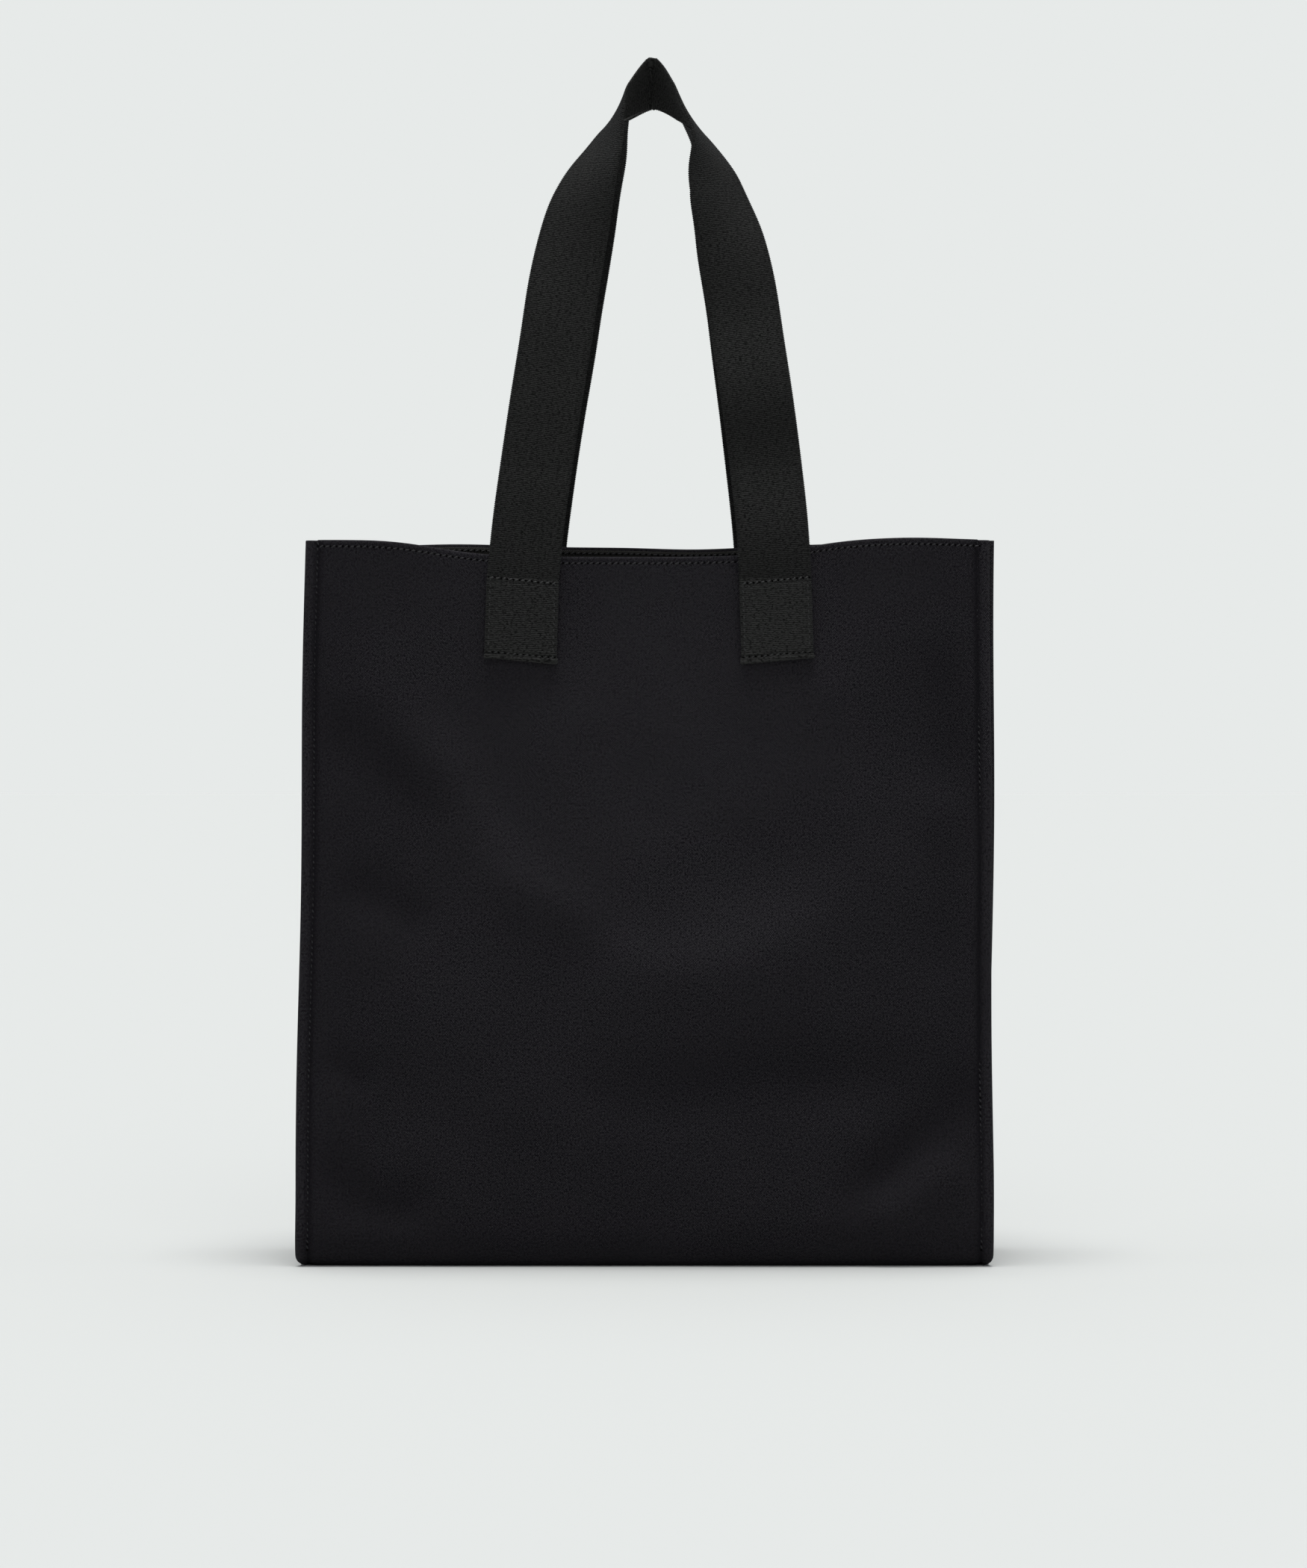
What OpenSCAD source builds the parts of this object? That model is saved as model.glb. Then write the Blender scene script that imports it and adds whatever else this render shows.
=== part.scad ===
// Canvas tote bag: one U-shaped main panel (front, bottom and back), two side gussets whose seams
// are turned outwards, a taped mouth hem and two webbing handles sewn on the outside.
// +X is to the right seen from the front, +Y points to the back and +Z is up. The origin is on the
// floor, under the middle of the bag. The handles are drawn as they stand when the bag hangs from
// its loops; each loop hinges on the top row of stitches of its sewn ends.

/* [Body] */
// Width of the main panel, edge to edge of the turned-out side seams
body_w = 388; // [300:2:460]
// Height of the mouth edge above the floor
body_h = 404; // [340:1:460]
// Depth from the front face to the back face
body_d = 120; // [90:2:160]
// Thickness of the canvas
canvas_t = 1.2; // [0.8:0.1:1.8]
// Radius where the front and the back turn into the bottom
bottom_r = 9; // [6:1:14]

/* [Seams] */
// How far the side seams stand out from the gussets
seam_w = 6.5; // [5:0.5:10]
// Height above the floor at which the upright seam stitching stops
seam_stop = 11; // [10:1:20]
// Width of a row of stitches
thread_w = 0.8; // [0.5:0.1:1.2]

/* [Mouth] */
// Height of the facing tape inside the mouth
tape_h = 28; // [20:1:40]
// Thickness of the facing tape
tape_t = 1; // [0.6:0.1:1.6]
// Distance of the hem stitching below the mouth edge
hem_row = 3; // [2:0.5:6]

/* [Handles] */
// Width of the webbing
web_w = 40; // [30:1:46]
// Thickness of the webbing
web_t = 1.8; // [1.4:0.1:2.2]
// Distance of each sewn end from the middle of the bag, at its top row of stitches
end_x = 70; // [55:1:90]
// Length of each sewn end
end_l = 46; // [36:1:60]
// Angle by which the sewn ends splay outwards at the bottom
end_splay = 6; // [0:1:8]
// Distance of the top row of stitches below the mouth edge
end_drop = 21; // [15:1:30]
// Rise of the handles above the mouth edge
handle_rise = 272; // [220:2:320]
// Angle by which the crown of each loop drops towards the middle of the bag
crown_tilt = 39; // [20:1:50]

/* [Hidden] */
$fn = 48;

LEFT = -1;
RIGHT = 1;

canvas_color = [0.12, 0.115, 0.13];
webbing_color = [0.15, 0.15, 0.14];
thread_color = [0.05, 0.05, 0.05];

sewn_gap = 0.1;                                // air between two layers that are sewn together
stitch_inset = 3;                              // distance of a row of stitches from a sewn edge
thread_t = thread_w / 2;                       // how far a row of stitches stands out
panel_inner_y = body_d / 2 - canvas_t;         // inner face of the front and the back
gusset_x = body_w / 2 - seam_w - canvas_t;     // inner face of a gusset
gusset_d = 2 * (panel_inner_y - sewn_gap);     // depth of a gusset over its turned-out edges
gusset_r = bottom_r - canvas_t - sewn_gap;     // its bottom corners nest in those of the panel
gusset_z = canvas_t + sewn_gap;                // its lower edge lies on the bottom
seam_x = body_w / 2 - seam_w;                  // foot of the turned-out seam
tape_top = body_h - 1;                         // the tape stops just short of the mouth edge

hinge_z = body_h - end_drop;
hinge_gap = 0.4;                               // between a sewn end and the start of its loop
end_face = body_d / 2 + 2 * web_t;             // outer face of a sewn end, two layers deep
loop_y = end_face - web_t / 2;                 // centre line of the loop where it leaves its end

crown_clear = 1.5;                             // between a crown and the middle of the bag
crown_y = web_w / 2 * cos(crown_tilt) + crown_clear;
crown_z = body_h + handle_rise - web_w / 2 * sin(crown_tilt) - web_t / 2;

// Half a loop from its sewn end to its crown. Each row is the share of the rise, the share of
// end_x that is left, the share of the way to the crown's depth, the twist of the webbing and
// the share of the crown's tilt.
leg_rows = [
  [0.00, 1.000, 0.000, 0, 0],
  [0.11, 0.955, 0.020, 0, 0],
  [0.23, 0.890, 0.060, 0, 0],
  [0.35, 0.820, 0.135, 0, 0],
  [0.47, 0.745, 0.240, 0, 0],
  [0.59, 0.675, 0.360, 4, 0],
  [0.71, 0.580, 0.490, 20, 0.05],
  [0.79, 0.495, 0.580, 38, 0.10],
  [0.86, 0.400, 0.670, 56, 0.20],
  [0.92, 0.290, 0.770, 72, 0.35],
  [0.965, 0.165, 0.880, 84, 0.65],
  [1.00, 0.000, 1.000, 90, 1]
];
row_steps = 4;                                 // rings between two rows

// ---- Helpers ----

// Outline of a side of the bag: straight sides and two round bottom corners.
module u_outline(w, h, r) {
  translate([-w / 2, r]) square([w, h - r]);
  translate([-w / 2 + r, 0]) square([w - 2 * r, 2 * r]);
  for (side = [LEFT, RIGHT]) translate([side * (w / 2 - r), r]) circle(r);
}

// The rim of that outline, open at the top.
module u_rim(w, h, r, t) {
  difference() {
    u_outline(w, h, r);
    translate([0, t]) u_outline(w - 2 * t, h, r - t);
  }
}

// Stands a drawing up in the Y-Z plane and gives it a length along X from x0 to x1.
module along_x(x0, x1) {
  translate([x0, 0, 0]) rotate([90, 0, 90]) linear_extrude(x1 - x0) children();
}

// A row of stitches from z0 to z1, on the outer face at y = 0, seen from the front.
module upright_row(z0, z1) {
  translate([-thread_w / 2, -thread_t, z0]) cube([thread_w, thread_t, z1 - z0]);
}

// A level row of stitches of that length, centred, on the outer face at y = 0.
module level_row(length) {
  translate([-length / 2, -thread_t, -thread_w / 2]) cube([length, thread_t, thread_w]);
}

// Puts what is drawn for the front on the front or on the back.
module on_face(is_back) {
  if (is_back) mirror([0, 1, 0]) children();
  else children();
}

// Puts a shape drawn hanging down from the origin where a webbing end is sewn on.
module at_end(side) {
  translate([side * end_x, -body_d / 2, hinge_z - hinge_gap / 2])
    rotate([0, -side * end_splay, 0]) children();
}

// ---- Cloth ----

module main_panel() {
  color(canvas_color) along_x(-body_w / 2, body_w / 2) u_rim(body_d, body_h, bottom_r, canvas_t);
}

// A flat side with its edges turned outwards, drawn for the right.
module gusset() {
  translate([0, 0, gusset_z]) {
    along_x(gusset_x, gusset_x + canvas_t) u_outline(gusset_d, body_h - gusset_z, gusset_r);
    along_x(gusset_x, body_w / 2) u_rim(gusset_d, body_h - gusset_z, gusset_r, canvas_t);
  }
}

module left_gusset() {
  color(canvas_color) mirror([1, 0, 0]) gusset();
}

module right_gusset() {
  color(canvas_color) gusset();
}

module mouth_tape() {
  outer_x = 2 * (gusset_x - sewn_gap);
  outer_y = 2 * (panel_inner_y - sewn_gap);
  color(webbing_color) translate([0, 0, tape_top - tape_h]) linear_extrude(tape_h) difference() {
    square([outer_x, outer_y], center = true);
    square([outer_x - 2 * tape_t, outer_y - 2 * tape_t], center = true);
  }
}

// ---- Stitching ----

module mouth_hem_stitching() {
  side_run = gusset_d - 2 * canvas_t - 2 * stitch_inset;
  color(thread_color) translate([0, 0, body_h - hem_row]) {
    for (is_back = [false, true])
      on_face(is_back) translate([0, -body_d / 2, 0]) level_row(2 * seam_x - 2 * thread_w);
    for (turn = [90, -90])
      rotate([0, 0, turn]) translate([0, -gusset_x - canvas_t, 0]) level_row(side_run);
  }
}

// The rows that close one gusset: up the front, up the back and along the bottom.
module seam_stitching() {
  for (is_back = [false, true])
    on_face(is_back) translate([seam_x, -body_d / 2, 0]) upright_row(seam_stop, body_h);
  translate([seam_x + stitch_inset, 0, gusset_z + canvas_t + thread_t / 2])
    cube([thread_w, gusset_d - 2 * bottom_r - 2 * stitch_inset, thread_t], center = true);
}

module left_seam_stitching() {
  color(thread_color) mirror([1, 0, 0]) seam_stitching();
}

module right_seam_stitching() {
  color(thread_color) seam_stitching();
}

// The stitched rectangle on a webbing end, drawn hanging down from the origin.
module box_stitching() {
  row_w = web_w - stitch_inset;
  top_z = -stitch_inset / 2;
  low_z = -end_l + stitch_inset;
  translate([0, -2 * web_t, 0]) {
    for (z = [top_z, low_z]) translate([0, 0, z]) level_row(row_w);
    for (side = [LEFT, RIGHT])
      translate([side * (row_w - thread_w) / 2, 0, 0]) upright_row(low_z, top_z);
  }
}

module end_stitching(side, is_back) {
  color(thread_color) on_face(is_back) at_end(side) box_stitching();
}

module front_left_end_stitching() {
  end_stitching(LEFT, false);
}

module front_right_end_stitching() {
  end_stitching(RIGHT, false);
}

module back_left_end_stitching() {
  end_stitching(LEFT, true);
}

module back_right_end_stitching() {
  end_stitching(RIGHT, true);
}

// ---- Handles ----

// A sewn end: the webbing is turned under itself, so it is two layers deep with a round fold below.
module webbing_end(side, is_back) {
  color(webbing_color) on_face(is_back) at_end(side) {
    translate([-web_w / 2, -2 * web_t, -end_l + web_t]) cube([web_w, 2 * web_t, end_l - web_t]);
    translate([0, -web_t, -end_l + web_t]) rotate([0, 90, 0])
      cylinder(r = web_t, h = web_w, center = true);
  }
}

module front_left_end() {
  webbing_end(LEFT, false);
}

module front_right_end() {
  webbing_end(RIGHT, false);
}

module back_left_end() {
  webbing_end(LEFT, true);
}

module back_right_end() {
  webbing_end(RIGHT, true);
}

// A smooth curve through four rows, from the second to the third.
function between(a, b, c, d, u) =
  (2 * b + (c - a) * u + (2 * a - 5 * b + 4 * c - d) * u * u + (3 * b - a - 3 * c + d) * u * u * u) / 2;

// The rows of a whole loop, from the left end over the crown to the right end. The last number
// tells the legs apart: -1 on the left and 1 on the right.
last_row = len(leg_rows) - 1;
loop_rows = [
  for (i = [0:2 * last_row])
    let (on_left = i <= last_row, r = leg_rows[on_left ? i : 2 * last_row - i], s = on_left ? LEFT : RIGHT)
      [s * r[1], r[2], r[0], s * (90 - r[3]), r[4]]
];

function loop_row(i) = loop_rows[max(0, min(2 * last_row, i))];

fine_rows = [
  for (i = [0:2 * last_row - 1], k = [0:row_steps - 1])
    between(loop_row(i - 1), loop_row(i), loop_row(i + 1), loop_row(i + 2), k / row_steps),
  loop_row(2 * last_row)
];

// Centre of a ring, and the direction from there to the outer edge of the webbing.
start_z = hinge_z + hinge_gap / 2;
function ring_center(r) =
  [end_x * r[0], -loop_y + (loop_y - crown_y) * r[1], start_z + (crown_z - start_z) * r[2]];
function ring_outward(r) =
  [sin(r[3]), cos(r[3]) * cos(crown_tilt * r[4]), -cos(r[3]) * sin(crown_tilt * r[4])];

function unit(v) = v / norm(v);
centers = [for (r = fine_rows) ring_center(r)];
last_ring = len(centers) - 1;
function along(i) = unit(centers[min(last_ring, i + 1)] - centers[max(0, i - 1)]);

// The four corners of a ring of webbing.
function ring(i) =
  let (t = along(i), raw = ring_outward(fine_rows[i]), w = unit(raw - (raw * t) * t), n = cross(t, w))
    [for (c = [[-1, -1], [-1, 1], [1, 1], [1, -1]]) centers[i] + c[0] * w * web_w / 2 + c[1] * n * web_t / 2];

module loop() {
  points = [for (i = [0:last_ring]) each ring(i)];
  walls = [
    for (i = [0:last_ring - 1], k = [0:3])
      let (a = 4 * i + k, b = 4 * i + (k + 1) % 4)
        each [[a, b, b + 4], [a, b + 4, a + 4]]
  ];
  low_cap = [[3, 2, 1], [3, 1, 0]];
  high_cap = [for (f = [[0, 1, 2], [0, 2, 3]]) f + 4 * last_ring * [1, 1, 1]];
  polyhedron(points, concat(walls, low_cap, high_cap));
}

module front_handle() {
  color(webbing_color) loop();
}

module back_handle() {
  color(webbing_color) mirror([0, 1, 0]) loop();
}

main_panel();
left_gusset();
right_gusset();
mouth_tape();
mouth_hem_stitching();
left_seam_stitching();
right_seam_stitching();
front_left_end();
front_right_end();
back_left_end();
back_right_end();
front_left_end_stitching();
front_right_end_stitching();
back_left_end_stitching();
back_right_end_stitching();
front_handle();
back_handle();
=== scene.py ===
# %% [markdown]
# # A canvas tote bag, sewn piece by piece
# The bag is two sides, one long panel, a facing tape and two lengths of webbing, held together by
# rows of stitches. Each is made here as its own piece, in the order in which a maker would sew them.
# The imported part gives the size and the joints, so it is loaded first and its box is kept.

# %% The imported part
import math

import bmesh
import bpy
import numpy as np
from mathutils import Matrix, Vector, noise


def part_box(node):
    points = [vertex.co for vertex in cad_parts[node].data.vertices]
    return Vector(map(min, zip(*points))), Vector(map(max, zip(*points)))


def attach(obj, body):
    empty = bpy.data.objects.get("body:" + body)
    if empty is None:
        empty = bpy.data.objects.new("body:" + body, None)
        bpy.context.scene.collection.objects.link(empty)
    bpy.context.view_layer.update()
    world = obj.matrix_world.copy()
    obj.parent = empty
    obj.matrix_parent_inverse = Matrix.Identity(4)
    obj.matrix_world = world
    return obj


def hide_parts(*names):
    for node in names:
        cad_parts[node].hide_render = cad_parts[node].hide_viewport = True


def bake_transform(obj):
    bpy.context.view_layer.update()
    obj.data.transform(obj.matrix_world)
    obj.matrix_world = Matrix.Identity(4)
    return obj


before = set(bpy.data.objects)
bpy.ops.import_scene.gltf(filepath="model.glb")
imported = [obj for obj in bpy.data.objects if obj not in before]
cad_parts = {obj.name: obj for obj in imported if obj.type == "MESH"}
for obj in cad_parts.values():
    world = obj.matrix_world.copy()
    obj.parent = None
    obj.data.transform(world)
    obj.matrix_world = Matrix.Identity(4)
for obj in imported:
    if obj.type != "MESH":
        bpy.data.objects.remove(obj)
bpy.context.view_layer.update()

# %% [markdown]
# ## Sizes
# Shapes are worked out in millimetres, because that is how a bag is cut, and turned into metres once,
# when a mesh is made. The body's width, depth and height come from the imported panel, and where the
# webbing is sewn on comes from its packed end.

# %% Driving sizes
MM = 0.001
FRONT, BACK = -1, 1
LEFT, RIGHT = -1, 1
HALF_WIDTH, HALF_DEPTH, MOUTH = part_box("main_panel")[1] / MM
CLOTH = 0.9  # thickness of the canvas
LAYER = 1.05  # from one sewn layer to the next
FACE = HALF_DEPTH - CLOTH / 2  # middle of the front and back cloth
SEAM_WIDTH = 6.5  # how far the side seams stand out
TURN, TURN_UP = 12.0, 20.0  # how deep and how high the soft turn into the bottom is
HEM = 26.0  # cloth turned in at the mouth
FLOOR_GAP = CLOTH / 2
STITCH_STEP = 3.4  # from one stitch to the next
END_X, END_Z = 70.0, 360.0  # middle of a handle's sewn end, to the side and up
print(f"body {2 * HALF_WIDTH:.0f} x {2 * HALF_DEPTH:.0f} x {MOUTH:.0f} mm, cloth {CLOTH} mm")

# %% [markdown]
# ## Camera, floor and light
# A long lens keeps the upright seams parallel. The camera looks almost level, from a little under the
# middle of the object. The floor is wide and as pale as the air behind it, so that no horizon shows,
# and the light is a faint even sky, one broad soft lamp overhead and weaker ones all round.

# %% Camera
LENS, SENSOR = 124.1, 36  # focal length and width of the film, in mm
scene = bpy.context.scene
eye = Vector((0.0025, -3.0636, 0.290))  # 3 m in front of the handles' sewn ends
aim = Vector((0.0025, -0.0636, 0.2688))
camera = bpy.data.objects.new("camera", bpy.data.cameras.new("camera"))
camera.data.sensor_width = SENSOR
camera.data.lens = LENS
camera.location = eye
camera.rotation_euler = (aim - eye).to_track_quat("-Z", "Y").to_euler()
scene.collection.objects.link(camera)
scene.camera = camera
scene.view_settings.view_transform = "Standard"
print(f"camera {(aim - eye).length:.2f} m from the front")

# %% Air


def node(tree, kind, values=None, **settings):
    """A new node, with its own settings, and with numbers or sockets for its inputs."""
    n = tree.nodes.new(kind)
    for key, value in settings.items():
        setattr(n, key, value)
    for key, value in (values or {}).items():
        if hasattr(value, "is_linked"):
            tree.links.new(value, n.inputs[key])
        else:
            n.inputs[key].default_value = value
    return n


AIR = (0.799, 0.823, 0.815, 1)  # what the camera sees behind the bag
GLOW, GLOW_STRENGTH = (0.92, 0.97, 1.10, 1), 0.22
world = bpy.data.worlds.new("air")
scene.world = world
world.use_nodes = True
sky = world.node_tree
sky.nodes.clear()
seen = node(sky, "ShaderNodeBackground", {"Color": AIR})
glow = node(sky, "ShaderNodeBackground", {"Color": GLOW, "Strength": GLOW_STRENGTH})
ray = node(sky, "ShaderNodeLightPath")
to_camera = ray.outputs["Is Camera Ray"]
both = node(sky, "ShaderNodeMixShader", {0: to_camera, 1: glow.outputs[0], 2: seen.outputs[0]})
node(sky, "ShaderNodeOutputWorld", {0: both.outputs[0]})
print("air", AIR[:3])

# %% Light and floor


def soft_lamp(name, strength, azimuth, elevation, spread):
    """A far broad lamp. Azimuth 0 is in front of the bag and 90 is on its right."""
    lamp = bpy.data.objects.new(name, bpy.data.lights.new(name, "SUN"))
    lamp.data.energy, lamp.data.angle = strength, math.radians(spread)
    a, e = math.radians(azimuth), math.radians(elevation)
    towards = Vector((math.sin(a) * math.cos(e), -math.cos(a) * math.cos(e), math.sin(e)))
    lamp.rotation_euler = towards.to_track_quat("Z", "Y").to_euler()
    scene.collection.objects.link(lamp)


soft_lamp("top_lamp", 3.6, 0, 86, 32)
soft_lamp("front_lamp", 0.7, 3, 36, 40)
soft_lamp("left_lamp", 0.15, -85, 36, 50)
soft_lamp("right_lamp", 0.15, 85, 36, 50)
soft_lamp("back_lamp", 0.3, 180, 60, 40)

FLOOR = (0.495, 0.506, 0.492, 1)  # looks as pale as the air under these lamps
bpy.ops.mesh.primitive_plane_add(size=60)
floor = bpy.context.object
floor.name = "floor"
floor_finish = bpy.data.materials.new("pale_floor")
floor_finish.use_nodes = True
floor_shader = floor_finish.node_tree.nodes["Principled BSDF"]
floor_shader.inputs["Base Color"].default_value = FLOOR
floor_shader.inputs["Roughness"].default_value = 1.0
floor_shader.inputs["Specular IOR Level"].default_value = 0.0
floor.data.materials.append(floor_finish)

# %% [markdown]
# ## Finishes
# Everything here is black, so what tells the cloths apart is how their yarns catch the light. Each
# cloth's finish is worked out from its own flat map, in metres, so that a yarn has the same width all
# over and follows the cloth round its folds. A bump gives the yarns their relief.

# %% Small helpers for node trees


def maths(tree, operation, *values):
    """One Math node; the values are numbers or sockets."""
    return node(tree, "ShaderNodeMath", dict(enumerate(values)), operation=operation).outputs[0]


def new_finish(name, roughness, specular, sheen):
    """A material with one Principled shader, whose even values are set on its own sockets."""
    m = bpy.data.materials.new(name)
    m.use_nodes = True
    shader = m.node_tree.nodes["Principled BSDF"]
    shader.inputs["Roughness"].default_value = roughness
    shader.inputs["Specular IOR Level"].default_value = specular
    shader.inputs["Sheen Weight"].default_value = sheen
    shader.inputs["Sheen Roughness"].default_value = 0.6
    return m, m.node_tree, shader


def flat_map(tree):
    """The place on the flat cloth: across, along, and both as one vector, in metres."""
    uv = node(tree, "ShaderNodeUVMap", uv_map="flat").outputs[0]
    split = node(tree, "ShaderNodeSeparateXYZ", {0: uv})
    return split.outputs[0], split.outputs[1], uv


def object_place(tree):
    """The place in the bag, in metres, for a piece that has no flat map."""
    return node(tree, "ShaderNodeTexCoord").outputs["Object"]


def unevenness(tree, place, stretch, detail=2.0):
    """Noise from 0 to 1, with its own frequency along each axis of the place."""
    spot = node(tree, "ShaderNodeVectorMath", {0: place, 1: stretch}, operation="MULTIPLY").outputs[0]
    return node(tree, "ShaderNodeTexNoise", {"Scale": 1.0, "Detail": detail, "Vector": spot}).outputs["Fac"]


def mark(tree, name):
    """A number that the mesh carries at each point, such as its wear and painted highlight."""
    return node(tree, "ShaderNodeAttribute", attribute_name=name).outputs["Fac"]


def colour(tree, shader, factor, dark, light):
    """The base colour goes from dark to light as the factor goes from 0 to 1."""
    n = node(tree, "ShaderNodeMix", {"Factor": factor, 6: (*dark, 1), 7: (*light, 1)}, data_type="RGBA")
    tree.links.new(n.outputs[2], shader.inputs["Base Color"])


def relief(tree, shader, height, depth, strength):
    """A bump that is this many metres deep."""
    n = node(tree, "ShaderNodeBump", {"Distance": depth, "Strength": strength, "Height": height})
    tree.links.new(n.outputs[0], shader.inputs["Normal"])


# %% [markdown]
# ### Canvas
# Plain weave: each warp yarn goes over one weft yarn and under the next. Two crossed sine waves make
# that checker of little humps. The weft is thicker than the warp, both wander a little, and some
# yarns are thicker than others. Edges that rub go slightly grey, with a painted highlight along the
# seams' outer edges. Painted light makes the middle of the bag, the crests of its folds and the seam
# flanges lighter, less so towards the sides and the bottom, and painted shade darkens the valleys
# beside the seam stitches.

# %% Canvas finish
WARP, WEFT = 0.455 * MM, 0.70 * MM
canvas, tree, shader = new_finish("black_canvas", 0.92, 0.08, 0.02)
u, v, flat = flat_map(tree)
wander_u = maths(tree, "MULTIPLY", unevenness(tree, flat, (300, 60, 0)), 0.0010)
wander_v = maths(tree, "MULTIPLY", unevenness(tree, flat, (50, 260, 0)), 0.0012)
warp_wave = maths(tree, "SINE", maths(tree, "MULTIPLY", maths(tree, "ADD", u, wander_u), math.pi / WARP))
weft_wave = maths(tree, "SINE", maths(tree, "MULTIPLY", maths(tree, "ADD", v, wander_v), math.pi / WEFT))
humps = maths(tree, "MULTIPLY_ADD", maths(tree, "MULTIPLY", warp_wave, weft_wave), 0.5, 0.5)
slubs = maths(tree, "ADD", unevenness(tree, flat, (1500, 800, 0)), unevenness(tree, flat, (800, 1200, 0)))
slubs = maths(tree, "ADD", slubs, unevenness(tree, flat, (1000, 950, 0), 1.0))
yarns = maths(tree, "MULTIPLY_ADD", slubs, 3.2, -3.9)
catch = maths(tree, "MULTIPLY", maths(tree, "MULTIPLY", humps, humps), yarns)
catch.node.use_clamp = True
patchy = maths(tree, "MULTIPLY_ADD", unevenness(tree, object_place(tree), (16, 16, 16), 4.0), 0.5, 0.75)
# From the marks: painted light and shade, and wear with a painted highlight on the seam edges.
tone_and_painted_light = maths(tree, "MULTIPLY_ADD", mark(tree, "tone_and_painted_light"), 0.4, 0.83)
wear_and_highlight = maths(tree, "MULTIPLY", mark(tree, "worn_and_highlight"), 0.28)
lit = maths(tree, "ADD", maths(tree, "MULTIPLY", catch, maths(tree, "MULTIPLY", patchy, tone_and_painted_light)), wear_and_highlight)
colour(tree, shader, lit, (0.0027, 0.0022, 0.0036), (0.0366, 0.0345, 0.0382))
tree.links.new(maths(tree, "MULTIPLY_ADD", catch, -0.12, 0.97), shader.inputs["Roughness"])
relief(tree, shader, catch, 0.00030, 0.75)
print("canvas: warp", WARP, "weft", WEFT, "m apart")

# %% [markdown]
# ### Webbing and facing tape
# The webbing has close crosswise ribs, each broken into short dashes where single yarns come up, and
# it is a warmer black than the canvas. The facing tape is a twill, so its ribs run slantwise, and
# turn back every few millimetres.

# %% Webbing finish
RIB = 1.05 * MM
webbing, tree, shader = new_finish("black_webbing", 0.9, 0.10, 0.02)
u, v, flat = flat_map(tree)
rib_wave = maths(tree, "SINE", maths(tree, "MULTIPLY", v, 2 * math.pi / RIB))
ribs = maths(tree, "MULTIPLY_ADD", rib_wave, 0.5, 0.5)
dashes = unevenness(tree, flat, (800, 2200, 0), 1.0)
dashes = maths(tree, "ADD", dashes, unevenness(tree, flat, (450, 1500, 0)))
yarns = maths(tree, "MULTIPLY_ADD", dashes, 4.6, -3.7)
catch = maths(tree, "MULTIPLY", maths(tree, "MULTIPLY_ADD", ribs, 0.75, 0.3), yarns)
catch.node.use_clamp = True
# From the marks: lighter selvedges, lighter sewn ends and painted light on the crown.
wear_and_highlight = maths(tree, "MULTIPLY", mark(tree, "worn_and_highlight"), 0.4)
lit = maths(tree, "ADD", maths(tree, "MULTIPLY", catch, mark(tree, "tone_and_painted_light")), wear_and_highlight)
colour(tree, shader, lit, (0.0022, 0.0022, 0.0020), (0.0245, 0.0247, 0.0236))
tree.links.new(maths(tree, "MULTIPLY_ADD", catch, -0.15, 0.96), shader.inputs["Roughness"])
relief(tree, shader, catch, 0.00035, 0.7)
print("webbing: ribs", RIB, "m apart")

# %% Facing tape finish
TWILL, TURN_BACK = 1.1 * MM, 7.0 * MM
tape_finish, tree, shader = new_finish("black_twill_tape", 0.9, 0.10, 0.02)
u, v, flat = flat_map(tree)
zigzag = maths(tree, "PINGPONG", v, TURN_BACK)
slant = maths(tree, "MULTIPLY", maths(tree, "ADD", u, zigzag), 2 * math.pi / TWILL)
twill = maths(tree, "MULTIPLY_ADD", maths(tree, "SINE", slant), 0.5, 0.5)
catch = maths(tree, "MULTIPLY", twill, maths(tree, "ADD", unevenness(tree, flat, (900, 900, 0)), 0.4))
colour(tree, shader, catch, (0.0070, 0.0070, 0.0062), (0.0450, 0.0440, 0.0400))
relief(tree, shader, catch, 0.00030, 0.7)
print("tape: twill", TWILL, "m apart")

# %% [markdown]
# ### Thread and needle holes
# Thread is smoother than cloth, so it gleams. The thread of the seams is duller and more uneven than
# that of the handles. The needle hole between two stitches is a near-black pit, painted shade for the
# dark inside of the hole.

# %% Thread finishes


def thread_finish(name, roughness, specular, fineness, dark, light):
    """Thread whose fibres are this fine, in waves to the metre; it has no flat map."""
    m, tree, shader = new_finish(name, roughness, specular, 0.0)
    fibres = unevenness(tree, object_place(tree), (fineness,) * 3)
    colour(tree, shader, fibres, dark, light)
    relief(tree, shader, fibres, 0.0001, 0.5)
    return m


thread = thread_finish("black_thread", 0.5, 0.35, 2600, (0.006, 0.006, 0.006), (0.030, 0.030, 0.029))
seam_thread = thread_finish("dull_thread", 0.65, 0.25, 900, (0.002, 0.002, 0.002), (0.042, 0.041, 0.043))

# %% Needle holes, in painted shade
hole_shade, tree, shader = new_finish("needle_hole_painted_shade", 1.0, 0.0, 0.0)
colour(tree, shader, unevenness(tree, object_place(tree), (1500, 1500, 1500)),
       (0.0005, 0.0005, 0.0005), (0.0030, 0.0030, 0.0030))
print("finishes:", [m.name for m in (canvas, webbing, tape_finish, thread, seam_thread, hole_shade)])

# %% [markdown]
# ## A piece of cloth as rows and columns
# Canvas, tape and webbing are all sheets, so one helper makes them all: it takes the place of every
# crossing of rows and columns, and the same crossings on the flat cloth, which become the UV map.
# Quads that aren't wanted are left out, and points that fall together, as along the middle of a
# side, are merged.

# %% Cloth helper


def rise(low, high, x):
    """Goes smoothly from 0 at low to 1 at high."""
    t = np.clip((np.asarray(x, float) - low) / (high - low), 0, 1)
    return t * t * (3 - 2 * t)


def mound(x, middle, width):
    """1 at the middle, falling softly to almost 0 at two widths from it."""
    return np.exp(-(((x - middle) / width) ** 2))


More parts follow.
